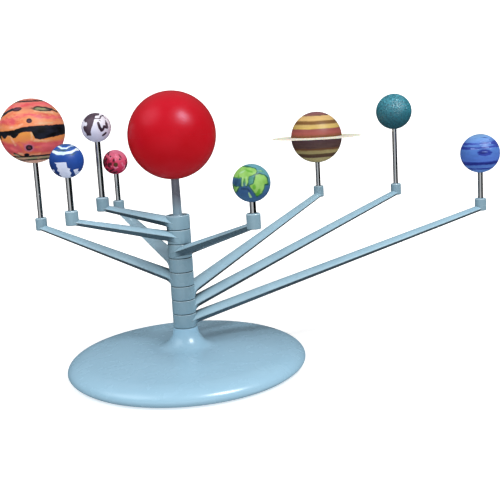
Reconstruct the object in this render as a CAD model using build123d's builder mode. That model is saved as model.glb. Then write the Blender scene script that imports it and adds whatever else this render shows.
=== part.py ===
"""Table-top orrery: eight planets on arms that turn about one upright column over a round base.

Millimetres, +Z up. The origin is the centre of the plane that the base stands on, on the
column's axis. Each arm is drawn at its resting azimuth, counted anticlockwise from +X.
"""
from build123d import *
from collections import namedtuple
from math import cos, radians, sin, sqrt
import os

# Column of stacked collars
collar_radius = 8.35
collar_pitch = 10.0
collar_gap = 0.3
stack_bottom = 29.7
spindle_radius = 4.5
running_clearance = 0.06
fixed_clearance = 0.05
loose_clearance = 0.1

# Arm bars and the sockets at their tips
bar_start = 4.0
bar_root_half_width = 6.9
bar_root_depth = 7.7
bar_tip_half_width = 4.3
bar_tip_depth = 4.4
bar_tip_rise = 0.1
crown_share, side_share = 0.46, 0.2
socket_radius = 4.4
socket_height = 9.7
socket_floor = 1.6
socket_fillet = 0.7
rod_radius = 2.0
rod_chamfer = 0.3

# Base
base_radius = 83.8
base_wall = 2.6
rim_bottom = 0.8
neck_top = stack_bottom - 0.2
neck_radius = 8.7
flare_radius = 13.0
crown_height = 15.8
rim_start_radius, rim_start_height = 70.0, 12.9
rim_height = 5.0
rim_foot_radius = 80.4
rim_foot_direction = (-0.75, -0.66)
cover_thickness = 2.2
cover_radius = 77.4
cover_gap = 0.2
cover_land = 1.6
rim_inner_radius, rim_inner_height = 72.0, 9.1
ballast_inner, ballast_outer, ballast_thickness = 20.0, 54.0, 6.0
ballast_chamfer = 0.5
foot_radius, foot_thickness, foot_circle = 7.0, 1.6, 67.0
screw_circle = 60.0
screw_boss_radius = 4.2
post_circle = 37.0
post_radius = 4.0
hub_radius = 17.0
hub_bottom = 8.4
flange_radius, flange_thickness = 15.0, 2.4
flange_screw_circle = 10.8

screw_head_radius, screw_shank_radius, screw_reach = 3.0, 1.4, 6.0
flange_screw_radius, flange_screw_reach = 1.2, 6.0
flange_head_radius, flange_head_height = 2.4, 1.3
slot_width, slot_depth = 0.6, 0.7
screw_tip_gap = 0.6

# Sun and its post
sun_radius = 30.25
sun_height = 164.6
post_foot_radius, post_head_radius = 3.2, 2.8
plug_radius, plug_length, plug_end_gap = 2.6, 14.0, 1.0
shoulder_radius, shoulder_thickness = 6.0, 1.4
counterbore_radius, counterbore_depth = 6.3, 2.0
post_entry, post_pin_radius, post_pin_length = 1.2, 2.3, 18.0
sun_boss_radius = 4.6

# Hollow balls, moulded in two halves
ball_wall = 1.5
lip_height, lip_wall = 1.6, 1.0
lip_gap = 0.05
ball_boss_radius = 3.6
boss_drop = 1.0
rod_end_gap = 1.5
ring_radius, ring_thickness = 38.8, 1.2

Planet = namedtuple("Planet", "name reach azimuth socket_top ball_height ball_radius")

# From the top collar down. Heights are above the standing plane.
planets = [
    Planet("mercury", 51.3, 173.9, 124.6, 172.7, 10.1),
    Planet("venus", 72.4, 196.2, 119.9, 152.8, 11.2),
    Planet("earth", 89.9, 300.3, 118.2, 136.4, 11.5),
    Planet("mars", 111.9, 114.8, 110.5, 141.6, 9.85),
    Planet("jupiter", 132.3, 143.4, 103.5, 171.0, 24.7),
    Planet("saturn", 185.6, 47.8, 107.2, 149.6, 22.0),
    Planet("uranus", 227.0, 33.1, 106.2, 168.1, 15.1),
    Planet("neptune", 245.3, 13.0, 98.2, 133.6, 15.1),
]

stack_top = stack_bottom + collar_pitch * len(planets)
cover_top = rim_bottom + cover_thickness
ballast_top = cover_top + ballast_thickness

os.makedirs("parts", exist_ok=True)


def finish(part, name):
    """Label a finished sub-part and write it to its own file."""
    part.label = name
    export_step(part, f"parts/{name}.step")


def on_axis(radius, azimuth, height):
    """Point at a radius and azimuth about the column."""
    return (radius * cos(radians(azimuth)), radius * sin(radians(azimuth)), height)


def across_arm(radius, azimuth, height):
    """Plane square to an arm: its x runs across the arm and its y is up."""
    outward = on_axis(1, azimuth, 0)
    sideways = on_axis(1, azimuth + 90, 0)
    return Plane(origin=on_axis(radius, azimuth, height), x_dir=sideways, z_dir=outward)


def bar_section(plane, half_width, depth):
    """Bar cross-section: crowned top, short upright sides and belly. The plane is at the crest."""
    side_top = -crown_share * depth
    side_bottom = side_top - side_share * depth
    with BuildSketch(plane) as section:
        with BuildLine():
            ThreePointArc((-half_width, side_top), (0, 0), (half_width, side_top))
            Line((half_width, side_top), (half_width, side_bottom))
            ThreePointArc((half_width, side_bottom), (0, -depth), (-half_width, side_bottom))
            Line((-half_width, side_bottom), (-half_width, side_top))
        make_face()
    return section.sketch


# Base shell: a shallow round dome that sweeps up into the neck under the collars
dome_outline = [
    (neck_radius + flare_radius, crown_height),
    (rim_start_radius, rim_start_height),
    (base_radius, rim_height),
    (rim_foot_radius, rim_bottom),
]
flare_centre_height = crown_height + flare_radius
flare_middle = (
    neck_radius + flare_radius * (1 - cos(radians(45))),
    flare_centre_height - flare_radius * sin(radians(45)),
)
inner_height = crown_height - base_wall
cover_seat_radius = cover_radius + cover_gap
hub_bore_radius = spindle_radius + fixed_clearance
with BuildPart() as base_shell:
    with BuildSketch(Plane.XZ):
        with BuildLine():
            Line((hub_bore_radius, hub_bottom), (hub_bore_radius, neck_top))
            Line((hub_bore_radius, neck_top), (neck_radius, neck_top))
            Line((neck_radius, neck_top), (neck_radius, flare_centre_height))
            ThreePointArc((neck_radius, flare_centre_height), flare_middle, dome_outline[0])
            dome = TangentArc(dome_outline[0], dome_outline[1], tangent=(1, 0))
            rim_tangents = (dome % 1, rim_foot_direction)
            Spline(dome_outline[1], dome_outline[2], dome_outline[3], tangents=rim_tangents)
            Line(dome_outline[3], (cover_seat_radius, rim_bottom))
            Line((cover_seat_radius, rim_bottom), (cover_seat_radius, cover_top))
            Line((cover_seat_radius, cover_top), (cover_seat_radius - cover_land, cover_top))
            Line((cover_seat_radius - cover_land, cover_top), (rim_inner_radius, rim_inner_height))
            Line((rim_inner_radius, rim_inner_height), (hub_radius, inner_height))
            Line((hub_radius, inner_height), (hub_radius, hub_bottom))
            Line((hub_radius, hub_bottom), (hub_bore_radius, hub_bottom))
        make_face()
    revolve(axis=Axis.Z)
    with BuildSketch(Plane.XY.offset(cover_top)):
        with PolarLocations(screw_circle, 4, start_angle=45):
            Circle(screw_boss_radius)
    extrude(until=Until.NEXT)
    with BuildSketch(Plane.XY.offset(ballast_top)):
        with PolarLocations(post_circle, 4):
            Circle(post_radius)
    extrude(until=Until.NEXT)
    with BuildSketch(Plane.XY.offset(cover_top)):
        with PolarLocations(screw_circle, 4, start_angle=45):
            Circle(screw_shank_radius + fixed_clearance)
    extrude(amount=screw_reach, mode=Mode.SUBTRACT)
    with BuildSketch(Plane.XY.offset(hub_bottom)):
        with PolarLocations(flange_screw_circle, 3, start_angle=90):
            Circle(flange_screw_radius + fixed_clearance)
    extrude(amount=flange_screw_reach, mode=Mode.SUBTRACT)
finish(base_shell.part, "base_shell")

# Flat cover that closes the base from below, with shallow pockets for the pads
head_cone = screw_head_radius - screw_shank_radius
screw_hole_radius = screw_shank_radius + 1.5 * loose_clearance
with BuildPart() as base_cover:
    with BuildSketch(Plane.XY.offset(rim_bottom)):
        Circle(cover_radius)
    extrude(amount=cover_thickness)
    with BuildSketch(Plane.XY.offset(rim_bottom)):
        Circle(foot_radius + loose_clearance)
        with PolarLocations(foot_circle, 4):
            Circle(foot_radius + loose_clearance)
    extrude(amount=foot_thickness - rim_bottom, mode=Mode.SUBTRACT)
    with Locations(Plane((0, 0, rim_bottom), z_dir=(0, 0, -1))):
        with PolarLocations(screw_circle, 4, start_angle=45):
            CounterSinkHole(screw_hole_radius, screw_hole_radius + head_cone, counter_sink_angle=90)
finish(base_cover.part, "base_cover")

# Steel ring lying on the cover, which keeps the long arms from tipping the base
with BuildPart() as ballast_plate:
    with BuildSketch(Plane.XY.offset(cover_top)):
        Circle(ballast_outer)
        Circle(ballast_inner, mode=Mode.SUBTRACT)
    extrude(amount=ballast_thickness)
    chamfer(ballast_plate.edges().filter_by(GeomType.CIRCLE), length=ballast_chamfer)
finish(ballast_plate.part, "ballast_plate")

# Soft pads: one in the middle and four near the rim, with their lower faces on the standing plane
with BuildPart() as rubber_feet:
    with BuildSketch(Plane.XY):
        Circle(foot_radius)
        with PolarLocations(foot_circle, 4):
            Circle(foot_radius)
    extrude(amount=foot_thickness)
finish(rubber_feet.part, "rubber_feet")

# Countersunk screws that hold the cover
with BuildPart() as base_screws:
    with BuildSketch(Plane.XY.offset(rim_bottom)):
        with PolarLocations(screw_circle, 4, start_angle=45):
            Circle(screw_head_radius)
    extrude(amount=head_cone, taper=45)
    with BuildSketch(Plane.XY.offset(rim_bottom)):
        with PolarLocations(screw_circle, 4, start_angle=45):
            Circle(screw_shank_radius)
    extrude(amount=cover_thickness + screw_reach - screw_tip_gap)
    with BuildSketch(Plane.XY.offset(rim_bottom)):
        with PolarLocations(screw_circle, 4, start_angle=45):
            Rectangle(screw_head_radius, slot_width)
            Rectangle(slot_width, screw_head_radius)
    extrude(amount=slot_depth, mode=Mode.SUBTRACT)
finish(base_screws.part, "base_screws")

# Spindle: fixed upright tube that every collar turns on, with a flange under the hub
flange_bottom = hub_bottom - flange_thickness
spindle_top = stack_top - counterbore_depth
with BuildPart() as spindle:
    with BuildSketch(Plane.XY.offset(flange_bottom)):
        Circle(flange_radius)
        with PolarLocations(flange_screw_circle, 3, start_angle=90):
            Circle(flange_screw_radius + loose_clearance, mode=Mode.SUBTRACT)
    extrude(amount=flange_thickness)
    with BuildSketch(Plane.XY.offset(flange_bottom)):
        Circle(spindle_radius)
    extrude(amount=spindle_top - flange_bottom)
    with BuildSketch(Plane.XY.offset(spindle_top)):
        Circle(plug_radius)
    extrude(amount=-plug_length - plug_end_gap, mode=Mode.SUBTRACT)
finish(spindle.part, "spindle")

with BuildPart() as spindle_screws:
    with BuildSketch(Plane.XY.offset(flange_bottom)):
        with PolarLocations(flange_screw_circle, 3, start_angle=90):
            Circle(flange_screw_radius)
    extrude(amount=flange_thickness + flange_screw_reach - screw_tip_gap)
    with BuildSketch(Plane.XY.offset(flange_bottom)):
        with PolarLocations(flange_screw_circle, 3, start_angle=90):
            Circle(flange_head_radius)
    extrude(amount=-flange_head_height)
    with BuildSketch(Plane.XY.offset(flange_bottom - flange_head_height)):
        with PolarLocations(flange_screw_circle, 3, start_angle=90):
            Rectangle(flange_head_radius, slot_width)
            Rectangle(slot_width, flange_head_radius)
    extrude(amount=slot_depth, mode=Mode.SUBTRACT)
finish(spindle_screws.part, "spindle_screws")

# Sun post: a plug in the spindle, a shoulder that keeps the collars on, and a tapered stem
sun_bottom = sun_height - sun_radius
stem_foot = spindle_top + shoulder_thickness
stem_top = sun_bottom + post_entry
with BuildPart() as sun_post:
    with BuildSketch(Plane.XZ):
        with BuildLine():
            Polyline(
                (0, spindle_top - plug_length),
                (plug_radius, spindle_top - plug_length),
                (plug_radius, spindle_top),
                (shoulder_radius, spindle_top),
                (shoulder_radius, stem_foot),
                (post_foot_radius, stem_foot),
                (post_head_radius, stem_top),
                (post_pin_radius, stem_top),
                (post_pin_radius, stem_top + post_pin_length),
                (0, stem_top + post_pin_length),
                close=True,
            )
        make_face()
    revolve(axis=Axis.Z)
finish(sun_post.part, "sun_post")


def meridian_plane(centre):
    """Upright plane through a ball's centre: its x is the distance from the ball's own axis."""
    return Plane(origin=centre, x_dir=(1, 0, 0), z_dir=(0, -1, 0))


def lip_radius(radius, joint):
    """Outer radius of the locating lip of a lower half, which fits inside the upper half."""
    lip_top = joint + lip_height
    return sqrt((radius - ball_wall) ** 2 - lip_top**2) - lip_gap


def make_upper_half(name, centre, radius, joint=0.0):
    """Upper half shell of a ball. The joint is half the gap that a trapped ring needs."""
    with BuildPart() as half:
        inner = radius - ball_wall
        with BuildSketch(meridian_plane(centre)):
            with BuildLine():
                Line((sqrt(inner**2 - joint**2), joint), (sqrt(radius**2 - joint**2), joint))
                RadiusArc((sqrt(radius**2 - joint**2), joint), (0, radius), -radius)
                Line((0, radius), (0, inner))
                RadiusArc((0, inner), (sqrt(inner**2 - joint**2), joint), inner)
            make_face()
        revolve(axis=Axis(centre, (0, 0, 1)))
    finish(half.part, name)


def make_lower_half(name, centre, radius, boss, bore, entry, joint=0.0):
    """Lower half shell with a locating lip and an inner boss. The entry is (radius, depth) or None."""
    with BuildPart() as half:
        inner = radius - ball_wall
        lip_outer = lip_radius(radius, joint)
        lip_inner = lip_outer - lip_wall
        boss_top = -joint - boss_drop
        with BuildSketch(meridian_plane(centre)):
            with BuildLine():
                Line((bore, boss_top), (bore, -sqrt(radius**2 - bore**2)))
                RadiusArc((bore, -sqrt(radius**2 - bore**2)), (sqrt(radius**2 - joint**2), -joint), -radius)
                Polyline(
                    (sqrt(radius**2 - joint**2), -joint),
                    (lip_outer, -joint),
                    (lip_outer, joint + lip_height),
                    (lip_inner, joint + lip_height),
                    (lip_inner, -sqrt(inner**2 - lip_inner**2)),
                )
                RadiusArc(
                    (lip_inner, -sqrt(inner**2 - lip_inner**2)), (boss, -sqrt(inner**2 - boss**2)), inner
                )
                Polyline((boss, -sqrt(inner**2 - boss**2)), (boss, boss_top), (bore, boss_top))
            make_face()
        revolve(axis=Axis(centre, (0, 0, 1)))
        if entry:
            with BuildSketch(Plane((centre[0], centre[1], centre[2] - radius))):
                Circle(entry[0])
            extrude(amount=entry[1], mode=Mode.SUBTRACT)
    finish(half.part, name)


sun_centre = (0, 0, sun_height)
make_upper_half("sun_upper", sun_centre, sun_radius)
sun_entry = (post_head_radius + loose_clearance, post_entry)
make_lower_half("sun_lower", sun_centre, sun_radius, sun_boss_radius, post_pin_radius, sun_entry)


def make_arm(planet, level):
    """One moulding: the collar, the rising bar and the upright socket at its tip."""
    reach, azimuth, socket_top = planet.reach, planet.azimuth, planet.socket_top
    collar_bottom = stack_bottom + collar_pitch * level
    collar_top = collar_bottom + collar_pitch - collar_gap
    socket_bottom = socket_top - socket_height
    tip_crest = socket_bottom + bar_tip_depth + bar_tip_rise
    slope = (tip_crest - collar_top) / (reach - collar_radius)
    root_crest = collar_top - slope * (collar_radius - bar_start)
    with BuildPart() as arm:
        with BuildSketch(Plane.XY.offset(collar_bottom)):
            Circle(collar_radius)
        extrude(amount=collar_pitch - collar_gap)
        root = bar_section(across_arm(bar_start, azimuth, root_crest), bar_root_half_width, bar_root_depth)
        tip = bar_section(across_arm(reach, azimuth, tip_crest), bar_tip_half_width, bar_tip_depth)
        loft([root, tip])
        with BuildSketch(Plane(on_axis(reach, azimuth, socket_bottom))):
            Circle(socket_radius)
        extrude(amount=socket_height)
        circles = arm.edges().filter_by(GeomType.CIRCLE)
        rims = circles.filter_by(lambda edge: abs(edge.radius - socket_radius) < 0.01)
        fillet(rims.sort_by(Axis.Z)[-1], radius=socket_fillet)
        with BuildSketch(Plane.XY.offset(collar_bottom)):
            Circle(spindle_radius + running_clearance)
        extrude(amount=collar_pitch, mode=Mode.SUBTRACT)
        with BuildSketch(Plane(on_axis(reach, azimuth, socket_bottom + socket_floor))):
            Circle(rod_radius)
        extrude(amount=socket_height, mode=Mode.SUBTRACT)
        if level == len(planets) - 1:
            with BuildSketch(Plane.XY.offset(collar_top - counterbore_depth)):
                Circle(counterbore_radius)
            extrude(amount=counterbore_depth, mode=Mode.SUBTRACT)
    finish(arm.part, f"{planet.name}_arm")


def make_rod(planet, joint):
    """Steel rod from the floor of the arm's socket up into the ball's boss."""
    foot = planet.socket_top - socket_height + socket_floor
    head = planet.ball_height - joint - rod_end_gap
    with BuildPart() as rod:
        with BuildSketch(Plane(on_axis(planet.reach, planet.azimuth, foot))):
            Circle(rod_radius)
        extrude(amount=head - foot)
        chamfer(rod.edges(), length=rod_chamfer)
    finish(rod.part, f"{planet.name}_rod")


for index, planet in enumerate(planets):
    joint = ring_thickness / 2 if planet.name == "saturn" else 0.0
    centre = on_axis(planet.reach, planet.azimuth, planet.ball_height)
    make_arm(planet, len(planets) - 1 - index)
    make_rod(planet, joint)
    ball_radius = planet.ball_radius
    make_upper_half(f"{planet.name}_upper", centre, ball_radius, joint)
    make_lower_half(f"{planet.name}_lower", centre, ball_radius, ball_boss_radius, rod_radius, None, joint)
    if planet.name == "saturn":
        with BuildPart() as saturn_ring:
            with BuildSketch(Plane(centre).offset(-joint)):
                Circle(ring_radius)
                Circle(lip_radius(ball_radius, joint) + loose_clearance, mode=Mode.SUBTRACT)
            extrude(amount=ring_thickness)
        finish(saturn_ring.part, "saturn_ring")
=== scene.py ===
"""Looks of the table-top orrery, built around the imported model. Metres, +Z up.

Every place is read from the frame. Painted shapes on the balls are given in percent of the ball's
radius, to the right and upwards, as an observer in front of the model sees them.
"""
import bpy
import math
import numpy as np
from mathutils import Matrix, Vector, noise


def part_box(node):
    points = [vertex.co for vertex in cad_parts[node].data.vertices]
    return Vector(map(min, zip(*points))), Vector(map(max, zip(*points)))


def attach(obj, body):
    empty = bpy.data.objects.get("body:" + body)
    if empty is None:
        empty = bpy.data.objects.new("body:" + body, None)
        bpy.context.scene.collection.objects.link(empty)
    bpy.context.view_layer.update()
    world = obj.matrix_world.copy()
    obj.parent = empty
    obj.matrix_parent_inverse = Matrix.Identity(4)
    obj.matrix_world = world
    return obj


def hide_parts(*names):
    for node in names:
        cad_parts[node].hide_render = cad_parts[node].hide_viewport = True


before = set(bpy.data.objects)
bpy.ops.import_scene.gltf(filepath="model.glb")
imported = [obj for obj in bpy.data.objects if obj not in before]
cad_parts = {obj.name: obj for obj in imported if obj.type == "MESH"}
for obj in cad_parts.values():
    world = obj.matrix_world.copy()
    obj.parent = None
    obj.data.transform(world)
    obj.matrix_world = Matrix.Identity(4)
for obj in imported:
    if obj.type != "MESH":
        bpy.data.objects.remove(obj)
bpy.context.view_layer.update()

MM = 0.001
PERCENT = 100
PLANETS = ["mercury", "venus", "earth", "mars", "jupiter", "saturn", "uranus", "neptune"]

# Collars and bars of the arms
COLLAR_RADIUS = 8.35 * MM
COLLAR_HEIGHT = 9.7 * MM
COLLAR_BORE = 4.56 * MM
COLLAR_EDGE = 0.45 * MM
TOP_RECESS_RADIUS, TOP_RECESS_DEPTH = 6.3 * MM, 2.0 * MM
BAR_START = 2.2 * MM
ROOT_SPREAD, SPREAD_RUN = 8.0 * MM, 9.0 * MM
BAR_ROOT = (6.9 * MM, 7.7 * MM)
BAR_TIP = (4.3 * MM, 4.4 * MM)
BAR_TIP_RISE = 0.1 * MM
BAR_CREST_START = 4.0 * MM
BAR_ROOT_RUN, BAR_TIP_RUN = 12.0 * MM, 9.0 * MM
CROWN_SHARE, CROWN_POWER, LIP_SHARE = 0.44, 2.2, 0.06
UNDERCUT, BELLY_NARROWING, KEEL_SHARE = 0.12, 0.38, 0.93
BAR_EDGE = 0.45 * MM
SOCKET_RADIUS, SOCKET_HEIGHT = 4.4 * MM, 9.7 * MM
SOCKET_RIM, SOCKET_FOOT_EDGE = 0.9 * MM, 0.5 * MM
SOCKET_FLOOR, SOCKET_LEAD = 1.6 * MM, 0.35 * MM
CUT_PAST = 1.0 * MM

# Balls
WALL = 1.5 * MM
LIP_WIDTH = 0.2 * MM
SEAM_EDGE = 0.03 * MM
SUN_BORE = 2.3 * MM

# Saturn's ring: its inner radius, and its grooves in radians per metre
RING_INNER = 19.4 * MM
GROOVES = 2600.0

# Camera, fitted to the photograph's view, and lights
CAMERA_PLACE = Vector((0.0, -0.5542, 0.1874))
CAMERA_PITCH, CAMERA_YAW, CAMERA_ROLL = (math.radians(a) for a in (9.044, 5.162, 3.267))
CAMERA_LENS = 57.77
CAMERA_SENSOR = 36.0
CAMERA_SHIFT = -0.0506
LIGHT_TARGET = Vector((0, 0, 0.1))


def linear(red, green, blue):
    """A display colour, each part from 0 to 255, as the linear colour that shaders use."""
    parts = [value / 255 for value in (red, green, blue)]
    made = [part / 12.92 if part < 0.04045 else ((part + 0.055) / 1.055) ** 2.4 for part in parts]
    return (*made, 1.0)


# ---- Meshes


def smooth(mesh, crease_degrees=None):
    """Smooth shading, but sharp where faces meet above an angle."""
    mesh.shade_smooth()
    if crease_degrees:
        mesh.set_sharp_from_angle(angle=math.radians(crease_degrees))


def mesh_object(name, points, faces, crease_degrees=None):
    """A smooth-shaded object from points and faces."""
    mesh = bpy.data.meshes.new(name)
    mesh.from_pydata([tuple(point) for point in points], [], faces)
    mesh.validate()
    smooth(mesh, crease_degrees)
    made = bpy.data.objects.new(name, mesh)
    bpy.context.scene.collection.objects.link(made)
    return made


def loft(rings):
    """Faces from each ring of point numbers to the next. A ring of one repeated point is a tip."""
    faces = []
    for low, high in zip(rings, rings[1:]):
        if low[0] == low[1] and high[0] == high[1]:
            continue
        for i in range(len(low)):
            j = (i + 1) % len(low)
            faces.append(list(dict.fromkeys((low[i], low[j], high[j], high[i]))))
    return faces


def revolved(name, outline, centre=(0, 0, 0), segments=96, crease_degrees=None, closed=True):
    """An outline of (radius, height) turned about an upright axis through the centre."""
    points, rings = [], []
    turns = np.linspace(0, 2 * math.pi, segments, endpoint=False)
    for radius, height in outline:
        first = len(points)
        if radius < 1e-7:
            points.append((centre[0], centre[1], centre[2] + height))
            rings.append([first] * segments)
        else:
            for turn in turns:
                x, y = radius * math.cos(turn), radius * math.sin(turn)
                points.append((centre[0] + x, centre[1] + y, centre[2] + height))
            rings.append(list(range(first, first + segments)))
    faces = loft(rings + rings[:1] if closed else rings)
    return mesh_object(name, points, faces, crease_degrees)


def arc(centre, radius, start_degrees, end_degrees, steps):
    """Points on a circle in the (radius, height) plane, both ends included."""
    turns = np.radians(np.linspace(start_degrees, end_degrees, steps + 1))
    return [(centre[0] + radius * math.cos(t), centre[1] + radius * math.sin(t)) for t in turns]


def bezier(start, start_pull, end_pull, end, steps):
    """Points on a cubic curve between two ends, without its first point."""
    made = []
    for t in np.linspace(0, 1, steps + 1)[1:]:
        weights = ((1 - t) ** 3, 3 * t * (1 - t) ** 2, 3 * t * t * (1 - t), t**3)
        corners = (start, start_pull, end_pull, end)
        made.append(tuple(sum(w * c[k] for w, c in zip(weights, corners)) for k in (0, 1)))
    return made


def rounded_post(radius, low, high, low_edge, high_edge, high_steps=4):
    """Outline of a solid round post whose two rims are rounded."""
    low_rim = arc((radius - low_edge, low + low_edge), low_edge, -90, 0, 4)
    high_rim = arc((radius - high_edge, high - high_edge), high_edge, 0, 90, high_steps)
    return [(0, low), *low_rim, *high_rim, (0, high)]


def rod_size(planet):
    """Radius of a planet's rod."""
    low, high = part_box(f"{planet}_rod")
    return (high.x - low.x) / 2


def combine(base, others, operation="UNION"):
    """Joins closed pieces to the base, or cuts them from it, as one closed mesh."""
    for other in others:
        change = base.modifiers.new("combine", "BOOLEAN")
        change.operation = operation
        change.solver = "EXACT"
        change.object = other
    graph = bpy.context.evaluated_depsgraph_get()
    graph.update()
    made = bpy.data.meshes.new_from_object(base.evaluated_get(graph))
    base.modifiers.clear()
    base.data = made
    for other in others:
        bpy.data.objects.remove(other)


def node_centre(name):
    low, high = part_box(name)
    return (low + high) / 2


# ---- Materials


class Surface:
    """A material whose nodes are added one call at a time."""

    def __init__(self, name):
        self.material = bpy.data.materials.new(name)
        self.material.use_nodes = True
        self.tree = self.material.node_tree
        self.tree.nodes.clear()
        self.place = self.add("TexCoord").outputs["Object"]

    def add(self, kind, inputs=(), **settings):
        made = self.tree.nodes.new("ShaderNode" + kind)
        for key, value in settings.items():
            setattr(made, key, value)
        for key, value in dict(inputs).items():
            if isinstance(value, bpy.types.NodeSocket):
                self.tree.links.new(value, made.inputs[key])
            else:
                made.inputs[key].default_value = value
        return made

    def noise(self, scale, detail=3.0, roughness=0.5, place=None):
        inputs = {"Vector": place or self.place, "Scale": scale, "Detail": detail}
        return self.add("TexNoise", inputs | {"Roughness": roughness}).outputs["Fac"]

    def attribute(self, name):
        return self.add("Attribute", attribute_name=name).outputs["Fac"]

    def math(self, operation, first, second=0.0):
        return self.add("Math", {0: first, 1: second}, operation=operation).outputs[0]

    def span(self, value, low, high, start=0.0, end=1.0, smooth=True):
        """The value mapped from low..high to start..end, and held there."""
        kind = "SMOOTHSTEP" if smooth else "LINEAR"
        inputs = {"Value": value, "From Min": low, "From Max": high, "To Min": start, "To Max": end}
        return self.add("MapRange", inputs, interpolation_type=kind).outputs["Result"]

    def mix(self, share, first, second):
        """Two colours mixed. A colour of three parts is a display colour."""
        inputs = {0: share, 6: first, 7: second}
        for key, colour in inputs.items():
            if isinstance(colour, tuple) and len(colour) == 3:
                inputs[key] = linear(*colour)
        return self.add("Mix", inputs, data_type="RGBA").outputs[2]

    def times(self, colour, factor):
        return self.add("VectorMath", {0: colour, 1: factor}, operation="MULTIPLY").outputs[0]

    def ramp(self, value, stops):
        """Colour by value, through stops of (value, colour)."""
        made = self.add("ValToRGB", {"Fac": value})
        elements = made.color_ramp.elements
        while len(elements) < len(stops):
            elements.new(0.5)
        for element, (place, colour) in zip(elements, stops):
            element.position = place
            element.color = colour
        return made.outputs["Color"]

    def bump(self, height, depth, strength=1.0, normal=None):
        inputs = {"Height": height, "Distance": depth, "Strength": strength}
        if normal:
            inputs["Normal"] = normal
        return self.add("Bump", inputs).outputs["Normal"]

    def finish(self, colour, roughness, normal, **inputs):
        inputs = {key.replace("_", " "): value for key, value in inputs.items()}
        inputs |= {"Base Color": colour, "Roughness": roughness, "Normal": normal}
        shader = self.add("BsdfPrincipled", inputs)
        self.add("OutputMaterial", {"Surface": shader.outputs["BSDF"]})
        return self.material


def grey_blue_plastic(name, pale, deep, with_painted_shade=False):
    """Moulded satin plastic with faint flow marks; the arms' copy adds painted shade and highlights."""
    skin = Surface(name)
    flow = skin.noise(55, 3, 0.55)
    colour = skin.mix(skin.span(flow, 0.3, 0.7), deep, pale)
    if with_painted_shade:
        # Painted shade: upright faces a little darker, faces that point down much darker.
        normal = skin.add("NewGeometry").outputs["Normal"]
        facing = skin.add("SeparateXYZ", {0: normal}).outputs[2]
        colour = skin.mix(skin.span(facing, 0.7, 0.1, 0, 0.38), colour, (62, 82, 92))
        colour = skin.mix(skin.span(facing, -0.1, -0.55, 0, 0.85), colour, (36, 50, 60))
        # Painted highlight: a pale line on rounded edges that face partly up.
        painted_edge_highlight = skin.span(facing, 0.15, 0.35, 0, 0.6)
        edge = skin.math("MULTIPLY", painted_edge_highlight, skin.span(facing, 0.62, 0.5))
        colour = skin.mix(edge, colour, (214, 226, 230))
        # Painted shade in crevices and corners, from ambient occlusion.
        painted_crevice_shade = skin.add("AmbientOcclusion", {"Distance": 0.02}, samples=16)
        depth = skin.span(painted_crevice_shade.outputs["AO"], 0.75, 0.1, 0, 0.9)
        colour = skin.mix(depth, colour, (30, 42, 50))
    roughness = skin.span(skin.noise(90, 3), 0.2, 0.8, 0.255, 0.285)
    normal = skin.bump(skin.noise(1400, 2), 0.00001, 0.2)
    return skin.finish(colour, roughness, normal, IOR=1.47)


def stem_plastic():
    """The post's plastic: bluish at its foot, greyer and darker upwards as painted shade under the sun.
    """
    skin = Surface("grey_blue_stem_plastic")
    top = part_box("sun_post")[1].z
    flow = skin.noise(90, 3, 0.55)
    height = skin.add("SeparateXYZ", {0: skin.place}).outputs[2]
    # Painted shade: the top of the post, under the sun ball, darker and greyer.
    rise = skin.span(height, top - 46 * MM, top - 28 * MM)
    pale = skin.mix(rise, (138, 166, 182), (112, 118, 130))
    deep = skin.mix(rise, (128, 156, 172), (96, 100, 112))
    colour = skin.mix(skin.span(flow, 0.3, 0.7), deep, pale)
    roughness = skin.span(flow, 0.3, 0.7, 0.26, 0.34)
    normal = skin.bump(flow, 0.0002, 0.1)
    return skin.finish(colour, roughness, normal, IOR=1.47)


def polished_steel():
    """Drawn steel rod: fine lengthwise scratches and faint smudges."""
    skin = Surface("polished_steel")
    stretch = skin.add("Mapping", {"Vector": skin.place, "Scale": (1, 1, 0.02)})
    drawn = skin.noise(3500, 2, 0.6, stretch.outputs["Vector"])
    smudge = skin.noise(120, 3)
    colour = skin.mix(smudge, (168, 172, 176), (205, 208, 210))
    roughness = skin.span(smudge, 0.35, 0.7, 0.06, 0.12)
    normal = skin.bump(drawn, 0.000012, 0.2)
    return skin.finish(colour, roughness, normal, Metallic=1.0)


def zinc_steel():
    """Zinc-plated steel: bluish, spangled and a little dull."""
    skin = Surface("zinc_steel")
    spangle = skin.add("TexVoronoi", {"Vector": skin.place, "Scale": 420})
    colour = skin.mix(spangle.outputs["Distance"], (140, 146, 150), (190, 194, 198))
    roughness = skin.span(skin.noise(300), 0.3, 0.7, 0.28, 0.45)
    normal = skin.bump(skin.noise(1800), 0.00002, 0.4)
    return skin.finish(colour, roughness, normal, Metallic=1.0)


def black_rubber():
    """Soft rubber with a dusty, slightly pitted skin."""
    skin = Surface("black_rubber")
    dust = skin.noise(700, 4)
    colour = skin.mix(skin.span(dust, 0.45, 0.8), (24, 24, 25), (62, 61, 60))
    normal = skin.bump(skin.noise(3200, 2), 0.00004, 0.6)
    roughness = skin.span(dust, 0.3, 0.7, 0.65, 0.9)
    return skin.finish(colour, roughness, normal)


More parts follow.
